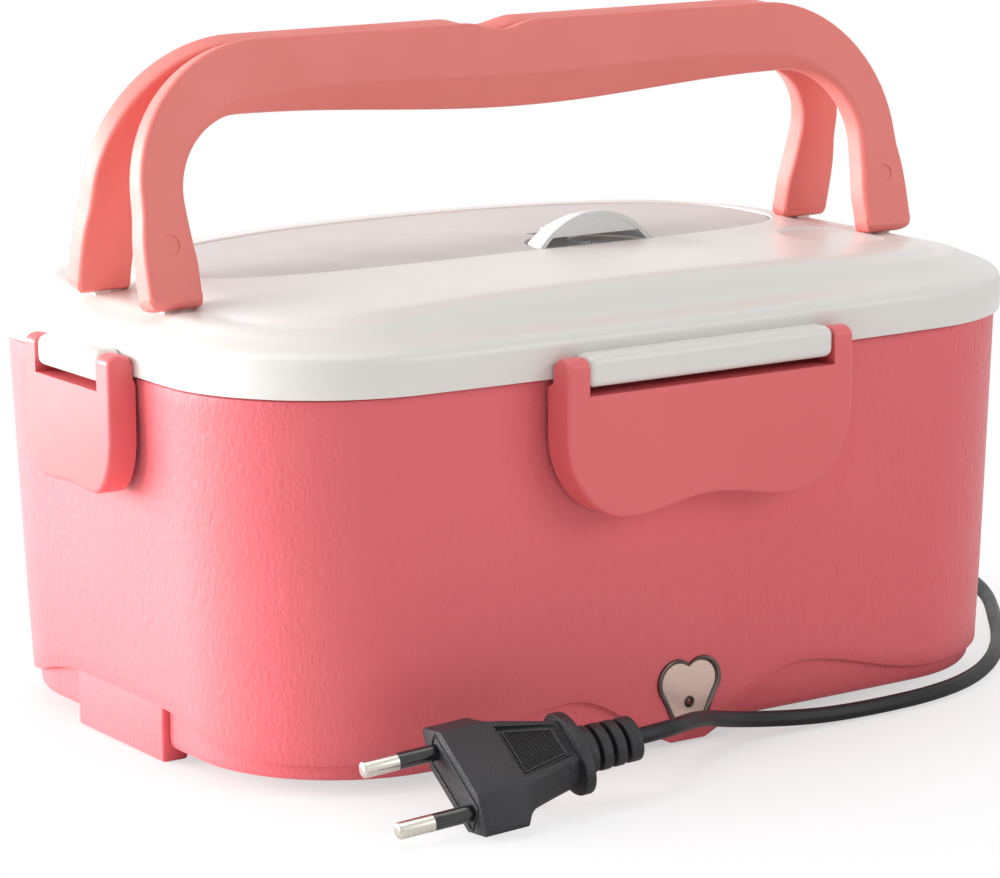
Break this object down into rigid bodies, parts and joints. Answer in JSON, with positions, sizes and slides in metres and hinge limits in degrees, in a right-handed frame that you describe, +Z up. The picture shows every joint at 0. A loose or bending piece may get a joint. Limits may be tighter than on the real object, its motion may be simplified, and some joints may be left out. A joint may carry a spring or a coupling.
{
  "type": "electric lunch box",
  "caption": "Electric lunch box with a lift-off lid, clip latches, bail handles, a heated well, a steel container and a mains lead.",
  "frame": {"origin": "middle of the case on the surface that it stands on", "axes": "+X to the right along the long side, -Y to the front with the indicator, +Z up"},
  "size_m": [0.2929, 0.282, 0.1705],
  "materials": {
    "body_pink": "fine upright wrinkle grain, satin",
    "clip_pink": "smooth satin",
    "handle_pink": "smooth satin",
    "lid_white": "semi-gloss",
    "panel_grey": "frosted",
    "vent_clear": "milky, half clear",
    "inner_white": "satin",
    "seal_silicone": "matte silicone",
    "black_rubber": "matte",
    "cord_black": "satin PVC",
    "plug_black": "fine spark grain",
    "sleeve_black": "gloss",
    "pin_nickel": "nickel plate",
    "steel": "brushed stainless",
    "zinc_steel": "zinc plated",
    "heater_alu": "cast, satin",
    "ceramic": "white insulation over ceramic",
    "board_green": "circuit board",
    "bezel_dark": "smoked metallic",
    "window_beige": "pearl",
    "lamp_red": "clear red",
    "wire_insulation": "silicone"
  },
  "bodies": {
    "base": {"outer_shell": "body_pink", "bottom_cover": "body_pink", "rubber_feet": "black_rubber", "case_screws": "zinc_steel", "inner_well": "inner_white", "heater_plate": "heater_alu", "ptc_heater": "ceramic", "heater_clamp": "zinc_steel", "heater_screws": "zinc_steel", "thermal_fuse": "ceramic", "fuse_clip": "zinc_steel", "terminal_block": "inner_white", "indicator_bezel": "bezel_dark", "indicator_window": "window_beige", "indicator_lamp": "lamp_red", "lamp_board": "board_green", "inner_wires": "wire_insulation", "inner_lead": "cord_black", "cord_gland": "cord_black", "cord_anchor": "inner_white", "lead_in": "cord_black", "lead_coil": "cord_black", "coil_tie": "sleeve_black", "lead_out": "cord_black", "plug_body": "plug_black", "plug_pins": "pin_nickel", "plug_sleeves": "sleeve_black", "plug_relief": "plug_black"},
    "container": {"food_container": "steel"},
    "tray": {"side_tray": "inner_white"},
    "lid": {"lid_shell": "lid_white", "lid_liner": "inner_white", "lid_seal": "seal_silicone", "lid_panel": "panel_grey", "long_latch_pins": "zinc_steel", "short_latch_pins": "zinc_steel", "handle_pins": "zinc_steel", "vent_pin": "zinc_steel"},
    "front_latch": {"front_latch": "clip_pink"},
    "back_latch": {"back_latch": "clip_pink"},
    "left_latch": {"left_latch": "clip_pink"},
    "right_latch": {"right_latch": "clip_pink"},
    "front_handle": {"front_handle": "handle_pink"},
    "rear_handle": {"rear_handle": "handle_pink"},
    "vent": {"vent_cap": "vent_clear", "vent_plug": "seal_silicone"}
  },
  "joints": [
    {"name": "lid_lift", "type": "slide", "parent": "base", "child": "lid", "axis": [0, 0, 1], "range_m": [0, 0.15]},
    {"name": "container_lift", "type": "slide", "parent": "base", "child": "container", "axis": [0, 0, 1], "range_m": [0, 0.09]},
    {"name": "tray_lift", "type": "slide", "parent": "container", "child": "tray", "axis": [0, 0, 1], "range_m": [0, 0.045]},
    {"name": "front_latch_hinge", "type": "hinge", "parent": "lid", "child": "front_latch", "pos_m": [0, -0.0846, 0.098], "axis": [-1, 0, 0], "range_deg": [0, 95]},
    {"name": "back_latch_hinge", "type": "hinge", "parent": "lid", "child": "back_latch", "pos_m": [0, 0.0846, 0.098], "axis": [1, 0, 0], "range_deg": [0, 95]},
    {"name": "left_latch_hinge", "type": "hinge", "parent": "lid", "child": "left_latch", "pos_m": [-0.1236, 0, 0.098], "axis": [0, 1, 0], "range_deg": [0, 95]},
    {"name": "right_latch_hinge", "type": "hinge", "parent": "lid", "child": "right_latch", "pos_m": [0.1236, 0, 0.098], "axis": [0, -1, 0], "range_deg": [0, 95]},
    {"name": "front_handle_hinge", "type": "hinge", "parent": "lid", "child": "front_handle", "pos_m": [0, -0.0175, 0.1135], "axis": [1, 0, 0], "range_deg": [0, 95]},
    {"name": "rear_handle_hinge", "type": "hinge", "parent": "lid", "child": "rear_handle", "pos_m": [0, 0.0175, 0.1135], "axis": [-1, 0, 0], "range_deg": [0, 95]},
    {"name": "vent_hinge", "type": "hinge", "parent": "lid", "child": "vent", "pos_m": [0.014, 0.007, 0.1143], "axis": [-1, 0, 0], "range_deg": [0, 85]}
  ],
  "couplings": [
    {"joint": "container_lift", "follows": "lid_lift", "ratio": 0.6},
    {"joint": "tray_lift", "follows": "lid_lift", "ratio": 0.3}
  ]
}
